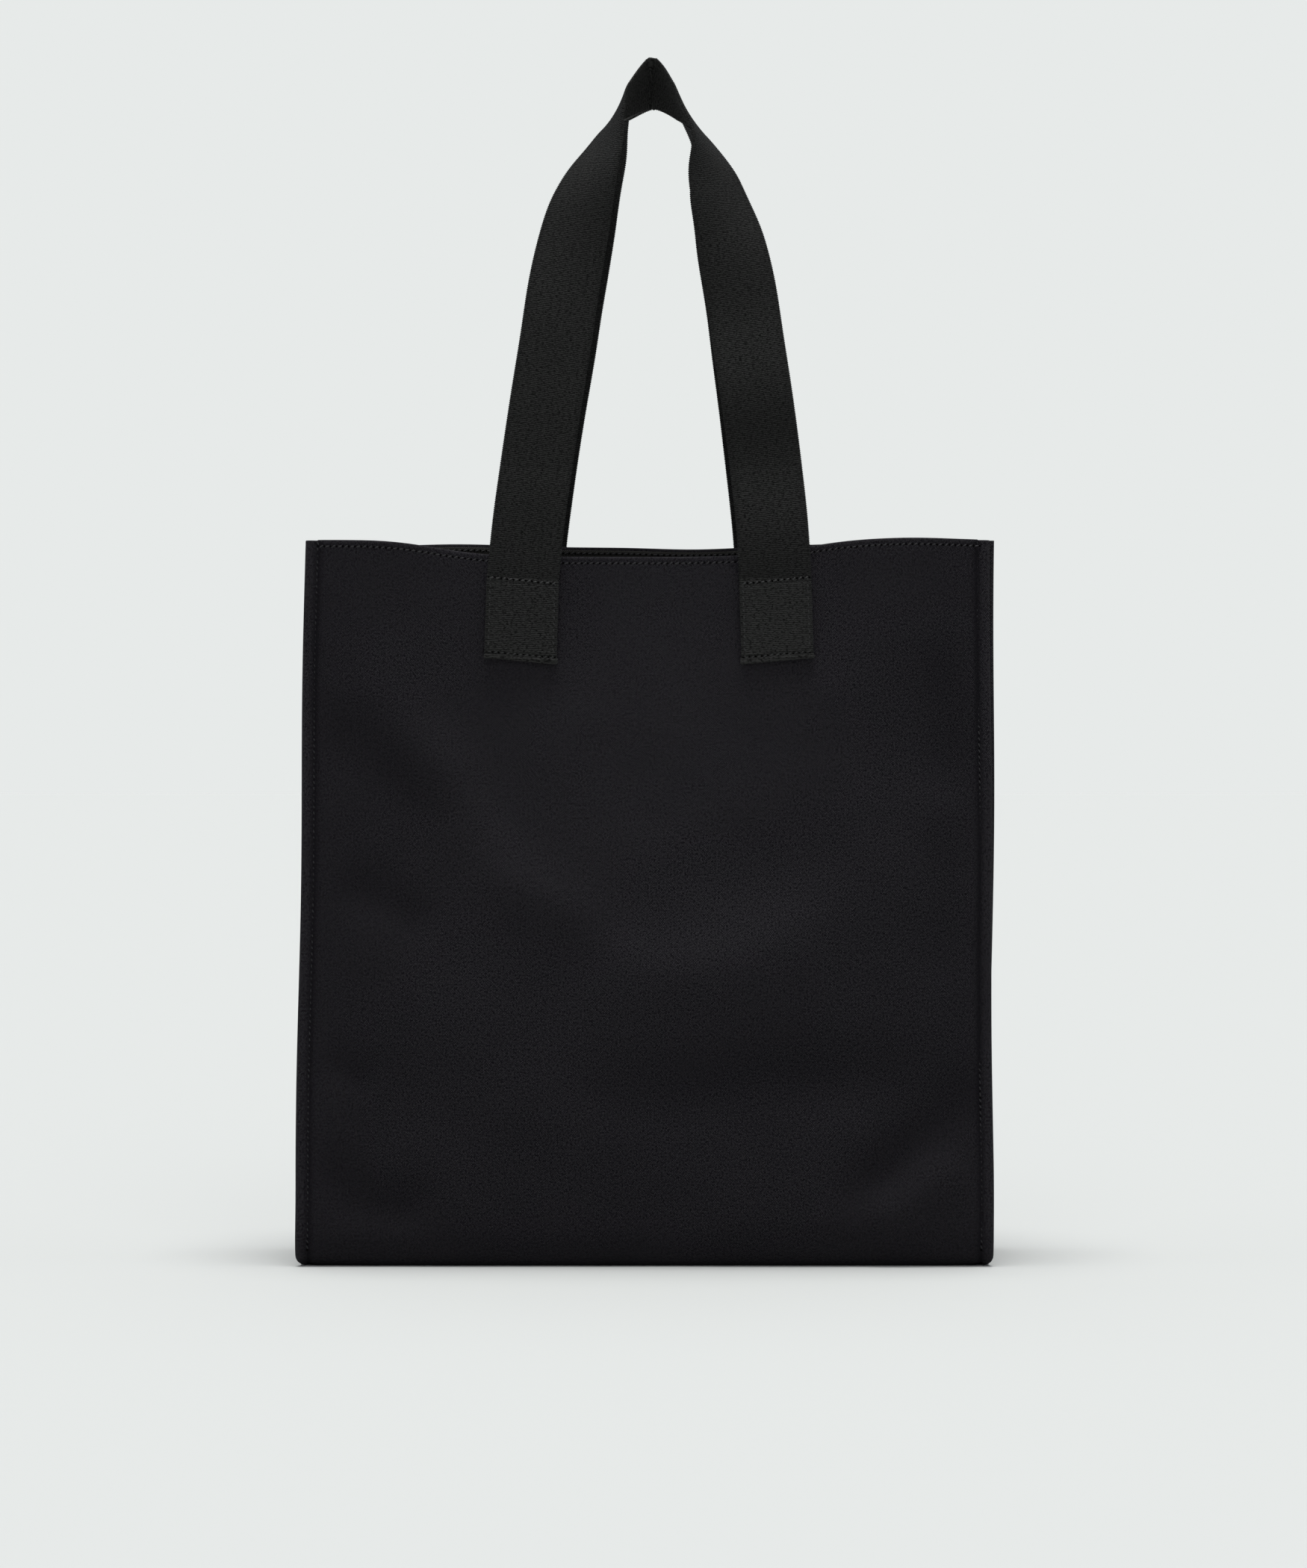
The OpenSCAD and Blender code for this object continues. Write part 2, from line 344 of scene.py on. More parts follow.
def cloth(name, points, flat, finish, keep=None, closed=False, marks=None, merge=False):
    """A mesh object from rows x columns of points in mm. Flat has one column more if it is closed."""
    rows, columns = points.shape[:2]
    faces, places = [], []
    for i in range(rows - 1):
        for j in range(columns if closed else columns - 1):
            if keep is None or keep[i, j]:
                k = (j + 1) % columns
                faces.append((i * columns + j, i * columns + k, (i + 1) * columns + k, (i + 1) * columns + j))
                places += [flat[i, j], flat[i, j + 1], flat[i + 1, j + 1], flat[i + 1, j]]
    mesh = bpy.data.meshes.new(name)
    mesh.from_pydata((points.reshape(-1, 3) * MM).tolist(), [], faces)
    mesh.uv_layers.new(name="flat").data.foreach_set("uv", (np.array(places) * MM).ravel())
    for key, values in (marks or {}).items():
        data = mesh.attributes.new(key, "FLOAT", "POINT").data
        data.foreach_set("value", values.astype(np.float32).ravel())
    bm = bmesh.new()
    bm.from_mesh(mesh)
    bmesh.ops.delete(bm, geom=[p for p in bm.verts if not p.link_faces], context="VERTS")
    if merge:
        bmesh.ops.remove_doubles(bm, verts=bm.verts, dist=0.02 * MM)
    bm.to_mesh(mesh)
    bm.free()
    mesh.shade_smooth()
    mesh.materials.append(finish)
    piece = bpy.data.objects.new(name, mesh)
    scene.collection.objects.link(piece)
    return piece


def thicken(piece, thickness):
    """Gives a sheet its thickness, half to each side, and closes its edges."""
    wall = piece.modifiers.new("thickness", "SOLIDIFY")
    wall.thickness, wall.offset, wall.use_rim = thickness * MM, 0, True


def steps(start, end, step):
    """Even steps from start to end, each as near to this length as fits."""
    return np.linspace(start, end, max(2, round(abs(end - start) / step) + 1))


# %% [markdown]
# ## The shape of the body
# The body hangs from its handles and just touches the floor. Its upper edge droops between the
# handles, the seams spread a little towards the bottom, and the front has soft folds that run from
# the handles to the lower corners. These few rules give the place of every point of the canvas.

# %% Folds in the front and the back
# Each fold is a line of (x, z) and how wide it is, in mm, and how far it stands out, in FOLD_DEPTHs.
FOLD_DEPTH = 1.7
front_folds = [
    ([(-182, 314), (-151, 278), (-98, 243)], 16, -2.5),
    ([(-178, 216), (-150, 205), (-114, 184)], 13, -2.4),
    ([(-146, 330), (-104, 262), (-78, 216), (-38, 192), (2, 160)], 16, 2.6),
    ([(-58, 134), (-8, 160), (35, 166), (75, 180), (118, 222)], 22, 3.2),
    ([(-66, 78), (-31, 97), (19, 100), (61, 112), (110, 108), (170, 98)], 21, -4.0),
    ([(190, 118), (160, 78), (118, 44), (96, 28)], 14, -3.4),
    ([(176, 66), (143, 36), (116, 20)], 12, 2.2),
    ([(-188, 70), (-163, 38), (-140, 34), (-112, 44)], 12, -2.6),
    ([(-186, 116), (-148, 102)], 9, -1.6),
    ([(164, 356), (163, 303), (164, 252)], 12, -1.8),
    ([(163, 258), (162, 201), (160, 146)], 12, -1.8),
]
back_folds = [
    ([(-170, 330), (-120, 270), (-70, 230), (10, 210)], 18, 2.6),
    ([(-150, 120), (-60, 150), (40, 140), (120, 170)], 22, -3.0),
    ([(186, 300), (130, 240), (80, 150)], 18, 2.8),
    ([(-180, 70), (-110, 50), (-40, 70), (60, 60), (170, 40)], 16, -2.6),
]


def fold(x, z, line, width, height):
    """How far one fold lifts the cloth; it fades away at both ends of its line."""
    line = np.array(line, float)
    lengths = np.linalg.norm(np.diff(line, axis=0), axis=1)
    best, where, gone = np.full(x.shape, 1e9), np.zeros(x.shape), 0.0
    for a, b, length in zip(line[:-1], line[1:], lengths):
        t = np.clip(((x - a[0]) * (b - a)[0] + (z - a[1]) * (b - a)[1]) / length**2, 0, 1)
        d = np.hypot(x - a[0] - t * (b - a)[0], z - a[1] - t * (b - a)[1])
        where = np.where(d < best, gone + t * length, where)
        best = np.minimum(d, best)
        gone += length
    share = where / gone
    return height * mound(best, 0, width) * rise(0, 0.3, share) * rise(0, 0.3, 1 - share)


def rumple(x, z, size, seed):
    """Slow waves that aren't the same anywhere, from about -0.5 to 0.5."""
    out = [noise.noise((a / size, b / size, seed)) for a, b in zip(np.ravel(x), np.ravel(z))]
    return np.array(out).reshape(np.shape(x))


BELLY, WIDEST = 9.0, 150.0  # how far the body bulges, and how high up


def swell(x, z, face):
    """How far the front or the back cloth stands out from its plane."""
    x, z = np.broadcast_arrays(np.asarray(x, float), np.asarray(z, float))
    folds = FOLD_DEPTH * sum(fold(x, z, *f) for f in (front_folds if face == FRONT else back_folds))
    folds = folds + 3.0 * rumple(x, z, 62, 3 + face) + 0.35 * rumple(x, z, 15, 9 + face)
    near_ends = np.exp(-(((np.abs(x) - END_X) / 27) ** 4) - ((z - END_Z) / 34) ** 4)
    belly = BELLY * np.clip(np.where(z < WIDEST, z / WIDEST, (MOUTH - z) / (MOUTH - WIDEST)), 0, 1)
    belly = BELLY * np.sin(belly / BELLY * np.pi / 2) ** 1.3 * np.clip(1 - (x / HALF_WIDTH) ** 2, 0, 1) ** 0.8
    lean = -3.0 * mound(x, 0, 36) * rise(MOUTH - 110, MOUTH, z)
    loose = rise(0, 14, HALF_WIDTH - SEAM_WIDTH - np.abs(x))
    return (belly + lean + folds * (1 - near_ends)) * loose * rise(3, 26, z)


print(len(front_folds), "folds in the front and", len(back_folds), "in the back")


# %% Edges of the body
DROOP_START = 230.0  # the cloth follows the mouth's droop above this height


def mouth_edge(x, face):
    """Height of the mouth edge, which droops between the handles."""
    if face == FRONT:
        return MOUTH - 9.4 * np.exp(-(np.abs((x + 17) / 107) ** 5)) + 1.2 * mound(x, 146, 30)
    return MOUTH + 2.0 * mound(np.abs(x), 110, 45) - 1.2 * mound(x, 25, 30)


def droop(x, z, face):
    """How far a place on the front or the back moves up or down with the mouth edge above it."""
    return (mouth_edge(x, face) - MOUTH) * rise(DROOP_START, MOUTH, z)


def outline(side, y, z):
    """Distance of the outer edge of a side seam from the middle of the bag."""
    up = 1 - np.clip(z / MOUTH, 0, 1)
    front = 190.7 + 6.2 * up if side == LEFT else 189.3 + 2.2 * up**1.2
    back = 190.5 + 3.5 * up
    share = (np.asarray(y) + FACE) / (2 * FACE)
    return front + (back - front) * share + 0.5 * np.sin(z / 37.0 + side) * rise(0, 60, z)


def middle_seam(side, z):
    """Distance of a side's seams from the middle of the bag, halfway from the front to the back."""
    return (outline(side, -FACE, z) + outline(side, FACE, z)) / 2 - SEAM_WIDTH


def lifted(x, z):
    """The body's lower corners don't quite reach the floor."""
    return 0.6 * rise(150, 186, np.abs(x)) * (1 - rise(0, 60, z))


print("mouth edge", round(float(mouth_edge(0, FRONT)), 1), "mm up in the middle of the front")


# %% [markdown]
# ## One set of rows for all the canvas
# Panel and sides are sewn together all round, so they share their rows: down the inside of the hem,
# over the mouth edge, down the front, under the bottom and up the back. A row is a place on the
# side view, the direction to the inside of the bag, and how far in it lies, which is more than
# nothing only in the hem. From these comes its distance along the flat cloth.

# %% Rows
half = [(-FACE, MOUTH - d, 1, 0, LAYER) for d in steps(HEM, 1.5, 4)]
half += [(-FACE, MOUTH - LAYER / 2 + math.sin(a) * LAYER / 2, 1, 0, LAYER / 2 * (1 + math.cos(a)))
         for a in np.radians([10, 50, 90, 130, 170])]
hem_rows = len(half) - 2
half += [(-FACE, MOUTH - d, 1, 0, 0) for d in (1.2, 2.0, 3.0, 4.0, 5.2, 7.5)]
half += [(-FACE, z, 1, 0, 0) for z in steps(MOUTH - 11, TURN_UP + FLOOR_GAP + 2, 4.2)]
for a in np.radians(np.linspace(0, 90, 12)):
    inwards = Vector((math.cos(a) / TURN, math.sin(a) / TURN_UP)).normalized()
    half.append((-FACE + TURN * (1 - math.cos(a)), FLOOR_GAP + TURN_UP * (1 - math.sin(a)), *inwards, 0))
half += [(y, FLOOR_GAP, 0, 1, 0) for y in steps(-FACE + TURN, 0, 4.5)[1:-1]]
rows = np.array(half + [(0, FLOOR_GAP, 0, 1, 0)] + [(-y, z, -a, b, w) for y, z, a, b, w in half[::-1]])
row_y, row_z, in_y, in_z, row_in = (c[:, None] for c in rows.T)
true_y, true_z = row_y + in_y * row_in, row_z + in_z * row_in
along = np.concatenate([[0], np.cumsum(np.hypot(np.diff(true_y[:, 0]), np.diff(true_z[:, 0])))])[:, None]
row_count = len(rows)
on_front, on_back = row_y < TURN - FACE, row_y > FACE - TURN
in_hem = np.minimum(np.arange(row_count), np.arange(row_count)[::-1]) < hem_rows
CORNER = 5.0  # radius of the seam edge's lower corners
corner_drop = np.sqrt(np.clip(1 - ((CORNER - row_z) / CORNER) ** 2, 0, 1))
corner_cut = 3.6 * np.where(row_z < CORNER, 1 - corner_drop, 0)
flange = SEAM_WIDTH - corner_cut
seam = {s: outline(s, row_y, row_z) - SEAM_WIDTH for s in (LEFT, RIGHT)}
print(row_count, "rows, cloth", round(float(along[-1, 0])), "mm long")


def stand(x, columns_in):
    """Points of the panel: each is at x, and so far inside its row's plane, with folds and droop."""
    height = np.where(on_front, swell(x, row_z, FRONT), 0) + np.where(on_back, swell(x, row_z, BACK), 0)
    inside = row_in + columns_in - height
    hanging = np.where(row_y < 0, droop(x, row_z, FRONT), droop(x, row_z, BACK))
    z = row_z + in_z * inside + hanging + lifted(x, row_z)
    return np.stack([x, row_y + in_y * inside, z], axis=-1)


# %% [markdown]
# ## The main panel
# One long piece of canvas makes the front, the bottom and the back, so there is no seam below. Both
# ends are turned in at the mouth, and the sides are turned back on themselves inside the outward
# seams. It could be draped by simulation, but the folds here are set by how the bag hangs and was
# packed, so they are shaped by the rules above, and every point stays where its neighbours are sewn.

# %% Main panel
# How the panel's edge runs through a seam: (distance outwards from the stitches, depth).
panel_edge = [(0.9, 0.6), (2.0, 0.0), (3.2, -0.3), (4.5, -0.25), (5.5, 0.05), (6.15, 0.4), (6.35, 0.75),
              (6.1, 1.15), (5.3, 1.5), (3.6, 1.75), (1.6, 1.9)]
out = np.array([p[0] for p in panel_edge])
depth = np.array([p[1] for p in panel_edge])
near_seam = np.array([0.977, 0.987, 0.9935, 1])
middle = np.concatenate([-near_seam[::-1], steps(-0.962, 0.962, 0.0235), near_seam])
HALF_FRONT = 187.0  # about how far the stitches are from the middle
to_stitches = (1 - np.abs(middle)) * HALF_FRONT
seam_dip = 1.0 * mound(to_stitches, 0, 2.2)
seam_flat = HALF_WIDTH - SEAM_WIDTH
edge_flat = seam_flat + np.cumsum(np.hypot(np.diff(out, prepend=0), np.diff(depth, prepend=1.0)))

x_left = -(seam[LEFT] + out[::-1] * flange / SEAM_WIDTH)
x_right = seam[RIGHT] + out * flange / SEAM_WIDTH
x_middle = -seam[LEFT] + (seam[RIGHT] + seam[LEFT]) * (middle + 1) / 2
panel_x = np.concatenate([x_left, x_middle, x_right], axis=1)
pucker = 0.22 * rumple(np.zeros_like(row_z), row_z + row_y, 9, 5) * (np.abs(panel_x) > 178)
from_mouth = np.minimum(along, along[-1] - along) - HEM
hem_dip = np.where(row_in < 0.01, 0.32 * mound(from_mouth, 3.4, 0.9), 0)
panel_in = np.concatenate([depth[::-1], seam_dip, depth])[None, :] + pucker + hem_dip
panel_points = stand(panel_x, panel_in)
across = np.concatenate([-edge_flat[::-1], middle * seam_flat, edge_flat])
panel_flat = np.stack(np.broadcast_arrays(across[None, :], along), axis=-1)
is_edge = np.concatenate([np.ones(len(out)), np.zeros(len(middle) - 1), np.ones(len(out))]).astype(bool)
keep = ~(in_hem[:-1, None] & is_edge[None, :])
keep[-hem_rows:, is_edge] = False
print(panel_points.shape[0], "x", panel_points.shape[1], "points")

# %% [markdown]
# Two numbers at each point of the cloth tell the finish how much lighter to make it. The first is
# wear along the mouth, and wear with a painted highlight where the folded edges of the seams stick
# out. The second is painted light over the belly, on the crests of the folds and on the seam
# flanges, and painted shade in the valley beside the seam stitches.

# %% Wear, painted light and painted shade of the main panel, and the panel itself
from_stitches = np.abs(across)[None, :] - seam_flat
# Wear along the mouth edge, and wear with a painted highlight along the seams' outer edges.
edge_wear_and_highlight = 0.3 * mound(from_stitches, 6.6, 0.9) + 0.25 * mound(from_mouth, 0, 1.6)
# Painted light over the belly, weaker towards the sides and the bottom, on the fold crests and on the
# flanges; painted shade in the valley beside the seam stitches.
crests = sum(fold(panel_x, row_z + 0 * panel_x, *f) for f in front_folds) * on_front
belly_share = (1 - ((panel_x - 12) / 195) ** 2) * rise(0, 60, row_z)
belly_share = belly_share * (1 - 0.3 * (1 - rise(120, 200, row_z)))
painted_light_and_shade = np.clip(np.clip(belly_share, 0, 1) * 0.85 + 0.12 * crests, 0, 1)
painted_light_and_shade = painted_light_and_shade - 1.7 * mound(from_stitches, -0.6, 1.9) + 0.9 * rise(1.8, 3.0, from_stitches)
panel = cloth("canvas_panel", panel_points, panel_flat, canvas, keep, marks={"worn_and_highlight": edge_wear_and_highlight, "tone_and_painted_light": painted_light_and_shade})
thicken(panel, CLOTH)

# %% [markdown]
# ## The two sides
# Each side is a tall piece of canvas with round lower corners. It comes out of the seam, turns the
# corner into the side of the bag and meets its other half in the middle, where it is folded softly
# inwards towards the mouth. Its flat map is simply the side view, with the seam laid out round it.

# %% Sides
SIDE_INSET = 0.75  # how far a side lies inside its seams
WEB_START, POLE = 7.0, 60.0  # where a side's flat part starts; how high its lower rows meet
# From the raw edge inside the seam, out, round and back, then into the side: (outwards, depth).
side_edge = [(1.6, 2.7), (3.6, 2.5), (5.3, 2.35), (6.0, 2.4), (6.3, 2.72), (6.0, 3.08), (5.2, 3.3),
             (3.0, 3.5), (1.2, 3.7), (0.2, 4.0), (-0.5, 4.7), (-SIDE_INSET, 5.8)]
side_out = np.array([p[0] for p in side_edge])
side_in = np.array([p[1] for p in side_edge])
to_middle = np.linspace(0, 1, 14)
edge_steps = np.hypot(np.diff(side_out[::-1], prepend=-SIDE_INSET), np.diff(side_in[::-1], prepend=WEB_START))
laid = -np.cumsum(edge_steps)[::-1]  # where the edge's points lie when it is laid out flat


def side_bow(y, z):
    """How far a side is pushed in, most of all in the middle near the mouth."""
    across_share = (1 - np.clip(np.abs(y) / FACE, 0, 1) ** 2) ** 2
    ripple = 1.6 * rumple(y, z, 34, 21)
    return across_share * (1.0 + 8.0 * rise(150, MOUTH, z) - 2.5 * mound(z, 90, 60) + ripple)


side_pieces = {}
for side, name in ((LEFT, "left_side"), (RIGHT, "right_side")):
    # On the right the strip outside the seam shows from the front. It widens towards the mouth.
    wide = 2.7 * np.clip((row_z - 160) / (MOUTH - 160), 0, 1) ** 0.7 * (row_y < 0) * (side == RIGHT)
    edge_x = seam[side] + side_out * np.where(side_out > 0, (flange + wide) / SEAM_WIDTH, 1)
    edge_y, edge_z = row_y + in_y * side_in, row_z + in_z * side_in + 0 * side_in
    start_y, start_z = row_y + in_y * WEB_START, row_z + in_z * WEB_START
    pole_z = np.maximum(row_z, POLE)
    web_y, web_z = start_y * (1 - to_middle), start_z + (pole_z - start_z) * to_middle
    web_x = seam[side] + (middle_seam(side, pole_z) - seam[side]) * rise(0, 1, to_middle)
    web_x = web_x - SIDE_INSET - side_bow(web_y, web_z) - row_in
    side_y = np.concatenate([edge_y, web_y], axis=1)
    side_z = np.concatenate([edge_z, web_z], axis=1)
    side_x = side * np.concatenate([edge_x - row_in * (side_out < 0.3), web_x], axis=1)
    edge_drop = (mouth_edge(side * seam[side], FRONT) + mouth_edge(side * seam[side], BACK)) / 2 - MOUTH
    side_z = side_z + edge_drop * rise(DROOP_START, MOUTH, side_z) + lifted(side * seam[side], row_z)
    flat_y = np.concatenate([row_y + in_y * (WEB_START + laid), web_y], axis=1)
    flat_z = np.concatenate([row_z + in_z * (WEB_START + laid), web_z], axis=1)
    flat_z = np.where(row_in > 0.01, MOUTH - from_mouth, flat_z)
    loose_end = np.concatenate([side_out > 0.3, np.zeros(len(to_middle), bool)])[:-1]
    keep = ~(in_hem[:-1, None] & loose_end[None, :])
    keep[-hem_rows:, loose_end] = False
    # Wear with a painted highlight along the seam's outer edge; on the right, the strip outside the seam is
    # drawn lighter, most of all just under the mouth.
    edge_wear_and_highlight = np.concatenate([0.3 * mound(side_out, 6.2, 0.5), 0 * to_middle])[None, :] + 0 * along
    if side == RIGHT:
        smooth_strip = np.concatenate([rise(3, 5, side_out), 0 * to_middle])[None, :] * (row_y < 0)
        edge_wear_and_highlight = np.maximum(edge_wear_and_highlight, smooth_strip * (0.13 + 0.7 * rise(MOUTH - 2.6, MOUTH - 1, row_z)))
    points = np.stack([side_x, side_y, side_z], axis=-1)
    marks = {"worn_and_highlight": edge_wear_and_highlight, "tone_and_painted_light": 0.3 + 0 * edge_wear_and_highlight}
    piece = cloth(name, points, np.stack([flat_y, flat_z], axis=-1), canvas, keep, marks=marks, merge=True)
    thicken(piece, CLOTH)
    side_pieces[side] = piece
    print(name, len(piece.data.polygons), "faces")

# %% [markdown]
# ## The facing tape
# A twill tape covers the raw edge of the hem, all round the inside of the mouth. It follows the inner
# face of the panel and the sides, with a small round corner between them.

# %% Facing tape
TAPE, TAPE_T, TAPE_LOW = 28.0, 0.7, 1.4  # its width and thickness, and how far below the edge it is
tape_depths = np.array([0, 0.8, 2, 3, 4.2, 7, 10, 13, 16, 19, 22, 25, TAPE])[:, None]
front_x, side_run = steps(-178, 178, 5), steps(-50, 50, 5)
turn_angles = np.radians([15, 30, 45, 60, 75])


def tape_along(face):
    """The tape on the front or the back, from left to right."""
    z = np.broadcast_to(MOUTH - TAPE_LOW - tape_depths, (len(tape_depths), len(front_x)))
    x = np.broadcast_to(front_x, z.shape)
    y = face * (FACE - 2 * LAYER - 0.1 + swell(x, z, face))
    return np.stack([x, y, z + droop(x, z, face)], axis=-1)


def tape_beside(side):
    """The tape on one side, from the front to the back."""
    z = np.broadcast_to(MOUTH - TAPE_LOW - tape_depths, (len(tape_depths), len(side_run)))
    y = np.broadcast_to(side_run, z.shape)
    inner = middle_seam(side, z) - SIDE_INSET - side_bow(y, z)
    return np.stack([side * (inner - 2 * LAYER), y, z], axis=-1)


def corner_turn(a, b):
    """Round corner columns between the last column a of one run and the first column b of the next."""
    corner = np.stack([a[:, 0], b[:, 1], (a[:, 2] + b[:, 2]) / 2], axis=-1)
    columns = []
    for t in turn_angles:
        x = corner[:, 0] + (b[:, 0] - corner[:, 0]) * math.sin(t)
        y = corner[:, 1] + (a[:, 1] - corner[:, 1]) * math.cos(t)
        z = a[:, 2] + (b[:, 2] - a[:, 2]) * t / (math.pi / 2)
        columns.append(np.stack([x, y, z], axis=-1))
    return np.stack(columns, axis=1)


def corner_back(a, b):
    """The same where the run that ends here is one of the sides."""
    return corner_turn(b, a)[:, ::-1]


front, right = tape_along(FRONT), tape_beside(RIGHT)
back, left = tape_along(BACK)[:, ::-1], tape_beside(LEFT)[:, ::-1]
ring = [front, corner_turn(front[:, -1], right[:, 0]), right, corner_back(right[:, -1], back[:, 0]),
        back, corner_turn(back[:, -1], left[:, 0]), left, corner_back(left[:, -1], front[:, 0])]
tape_points = np.concatenate(ring, axis=1)
round_it = np.linalg.norm(np.diff(tape_points[6], axis=0, append=tape_points[6][:1]), axis=-1)
tape_u = np.concatenate([[0], np.cumsum(round_it)])
tape_flat = np.stack(np.broadcast_arrays(tape_u[None, :], -tape_depths), axis=-1)
tape = cloth("mouth_facing", tape_points[:, ::-1], tape_flat[:, ::-1], tape_finish, closed=True)
thicken(tape, TAPE_T)

# %% [markdown]
# ## The handles
# Each handle is one length of ribbed webbing. Its ends are turned under and sewn flat to the outside
# of the bag, and in between it rises, twists a quarter turn and leans in, until it hangs over the
# middle at its crown. A flat strap is best modelled directly: a centre line, a width direction that
# twists along it, and one closed cross-section.

# %% Centre line and twist of a handle
WEB, WEB_T = 40.0, 1.8  # width and thickness
BOX_TOP, BOX_LOW, BOX_HALF = 1.3, 42.4, 18.0  # the stitched box, down from the hinge and to each side
END_LONG, END_SPLAY, END_DRIFT = 46.0, math.radians(5.6), math.radians(1.7)
PACKED_SPLAY = math.radians(6)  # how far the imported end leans, which lifts its outer corner
HINGE = (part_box("front_right_end")[1] / MM).z - WEB / 2 * math.sin(PACKED_SPLAY) + 0.2
LOOP_Y = HALF_DEPTH + 1.5 * WEB_T
CROWN_TILT = math.radians(39)
CROWN_Y = WEB / 2 * math.cos(CROWN_TILT) + 1.5
CROWN_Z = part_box("front_handle")[1].z / MM - WEB / 2 * math.sin(CROWN_TILT) - WEB_T / 2
# Share of the rise, of the sewn end's distance from the middle that is left, of the way to the
# middle's depth, then the twist in degrees and the share of the crown's tilt.
leg = [(0, 1, 0, 0, 0), (.11, .955, .02, 0, 0), (.23, .89, .06, 0, 0), (.35, .82, .135, 0, 0),
       (.47, .745, .24, 0, 0), (.59, .675, .36, 4, 0), (.71, .58, .49, 20, .05), (.79, .495, .58, 38, .1),
       (.86, .4, .67, 56, .2), (.92, .305, .77, 72, .35), (.965, .19, .88, 84, .65), (1, 0, 1, 90, 1)]


def smooth_line(points, count):
    """A Catmull-Rom curve through the points, with that many steps between two."""
    p = np.concatenate([points[:1], points, points[-1:]])
    u = np.linspace(0, 1, count, endpoint=False)[:, None]
    parts = []
    for a, b, c, d in zip(p, p[1:], p[2:], p[3:]):
        parts.append((2 * b + (c - a) * u + (2 * a - 5 * b + 4 * c - d) * u**2
                      + (3 * b - a - 3 * c + d) * u**3) / 2)
    return np.concatenate(parts + [points[-1:]])


def end_rows(side):
    """Centre and outward width of a sewn end, from under the fold up to the hinge."""
    a = steps(2.0, END_LONG - WEB_T, 0.7)
    turn = np.radians(np.linspace(15, 165, 9))
    down = np.concatenate([a, END_LONG - WEB_T + 1.0 * np.sin(turn), a[::-1], [1.0]])
    pressed = 0.75 * mound(a, BOX_LOW, 1.0) + 0.35 * mound(a - BOX_TOP, 1, 1.0)
    out_y = np.concatenate([a * 0 + 1.0, 1.9 - 1.1 * np.cos(turn), (2.8 - pressed)[::-1], [2.6]])
    x = side * (END_X + down * math.sin(END_DRIFT))
    z = HINGE - down
    surface = FACE + CLOTH / 2 + swell(x, z, FRONT)
    centre = np.stack([x, -(surface + out_y - 0.1), z], axis=-1)
    width = np.tile([side * math.cos(END_SPLAY), 0, math.sin(END_SPLAY)], (len(down), 1))
    spread = 1 + 0.035 * rise(END_LONG - 3.2, END_LONG - 1.5, down)
    return centre, width, spread


def loop_rows():
    """Centre and outward width of the loop, from the left hinge over the crown to the right one."""
    r = np.array([(-b, c, a, -(90 - d), e) for a, b, c, d, e in leg]
                 + [(b, c, a, 90 - d, e) for a, b, c, d, e in leg[-2::-1]])
    r = smooth_line(r, 24)
    up = np.clip(r[:, 2], 0, 1)
    sag = 1.5 * np.sin(math.pi * np.clip(up / 0.22, 0, 1))
    on_right = r[:, 0] > 0
    right_aside = 3.2 * np.sin(math.pi * up) ** 0.8 + 3.6 * mound(up, 0.875, 0.06)
    aside = np.where(on_right, right_aside, 1.6 * mound(up, 0.87, 0.06)) + 1.6 * rise(0.94, 1, up)
    crease = 0.7 * np.exp(-np.abs(r[:, 0]) * END_X / 3.0)
    lean = np.clip(r[:, 1], 0, 1) ** 1.2
    centre = np.stack([END_X * r[:, 0] + aside, -LOOP_Y + (LOOP_Y - CROWN_Y) * lean - sag,
                       HINGE + (CROWN_Z - HINGE) * up + crease], axis=-1)
    right_twist = 8 * mound(up, 0.88, 0.05) + 5 * mound(up, 0.74, 0.05)
    more_twist = np.where(on_right, right_twist, 3 * mound(up, 0.8, 0.14))
    a, tilt = np.radians(r[:, 3] - more_twist), CROWN_TILT * r[:, 4]
    return centre, np.stack([np.sin(a), np.cos(a) * np.cos(tilt), -np.cos(a) * np.sin(tilt)], axis=-1)


left_c, left_w, left_s = end_rows(LEFT)
loop_c, loop_w = loop_rows()
right_c, right_w, right_s = end_rows(RIGHT)
line = np.concatenate([left_c, loop_c, right_c[::-1]])
width = np.concatenate([left_w, loop_w, right_w[::-1]])
wider = np.concatenate([left_s, np.ones(len(loop_c)), right_s[::-1]])
travel = np.concatenate([[0], np.cumsum(np.linalg.norm(np.diff(line, axis=0), axis=1))])
WEB_CUT = float(travel[-1])
print("webbing cut", round(WEB_CUT), "mm long for each handle")

# %% Rows every quarter of a rib
SOFT = 4  # how many rows to each side are averaged
at = np.arange(0, WEB_CUT, RIB / MM / 4)
path = np.stack([np.interp(at, travel, line[:, k]) for k in range(3)], axis=-1)
outward = np.stack([np.interp(at, travel, width[:, k]) for k in range(3)], axis=-1)
wider = np.interp(at, travel, wider)[:, None, None]
soft = np.hanning(2 * SOFT + 1) / np.hanning(2 * SOFT + 1).sum()
for k in range(3):
    before, after = 2 * path[0, k] - path[SOFT:0:-1, k], 2 * path[-1, k] - path[-2:-2 - SOFT:-1, k]
    path[:, k] = np.convolve(np.concatenate([before, path[:, k], after]), soft, "valid")
tangent = np.gradient(path, axis=0)
tangent /= np.linalg.norm(tangent, axis=1)[:, None]
outward -= (outward * tangent).sum(1)[:, None] * tangent
outward /= np.linalg.norm(outward, axis=1)[:, None]
facing = np.cross(tangent, outward)
print(len(at), "rows")

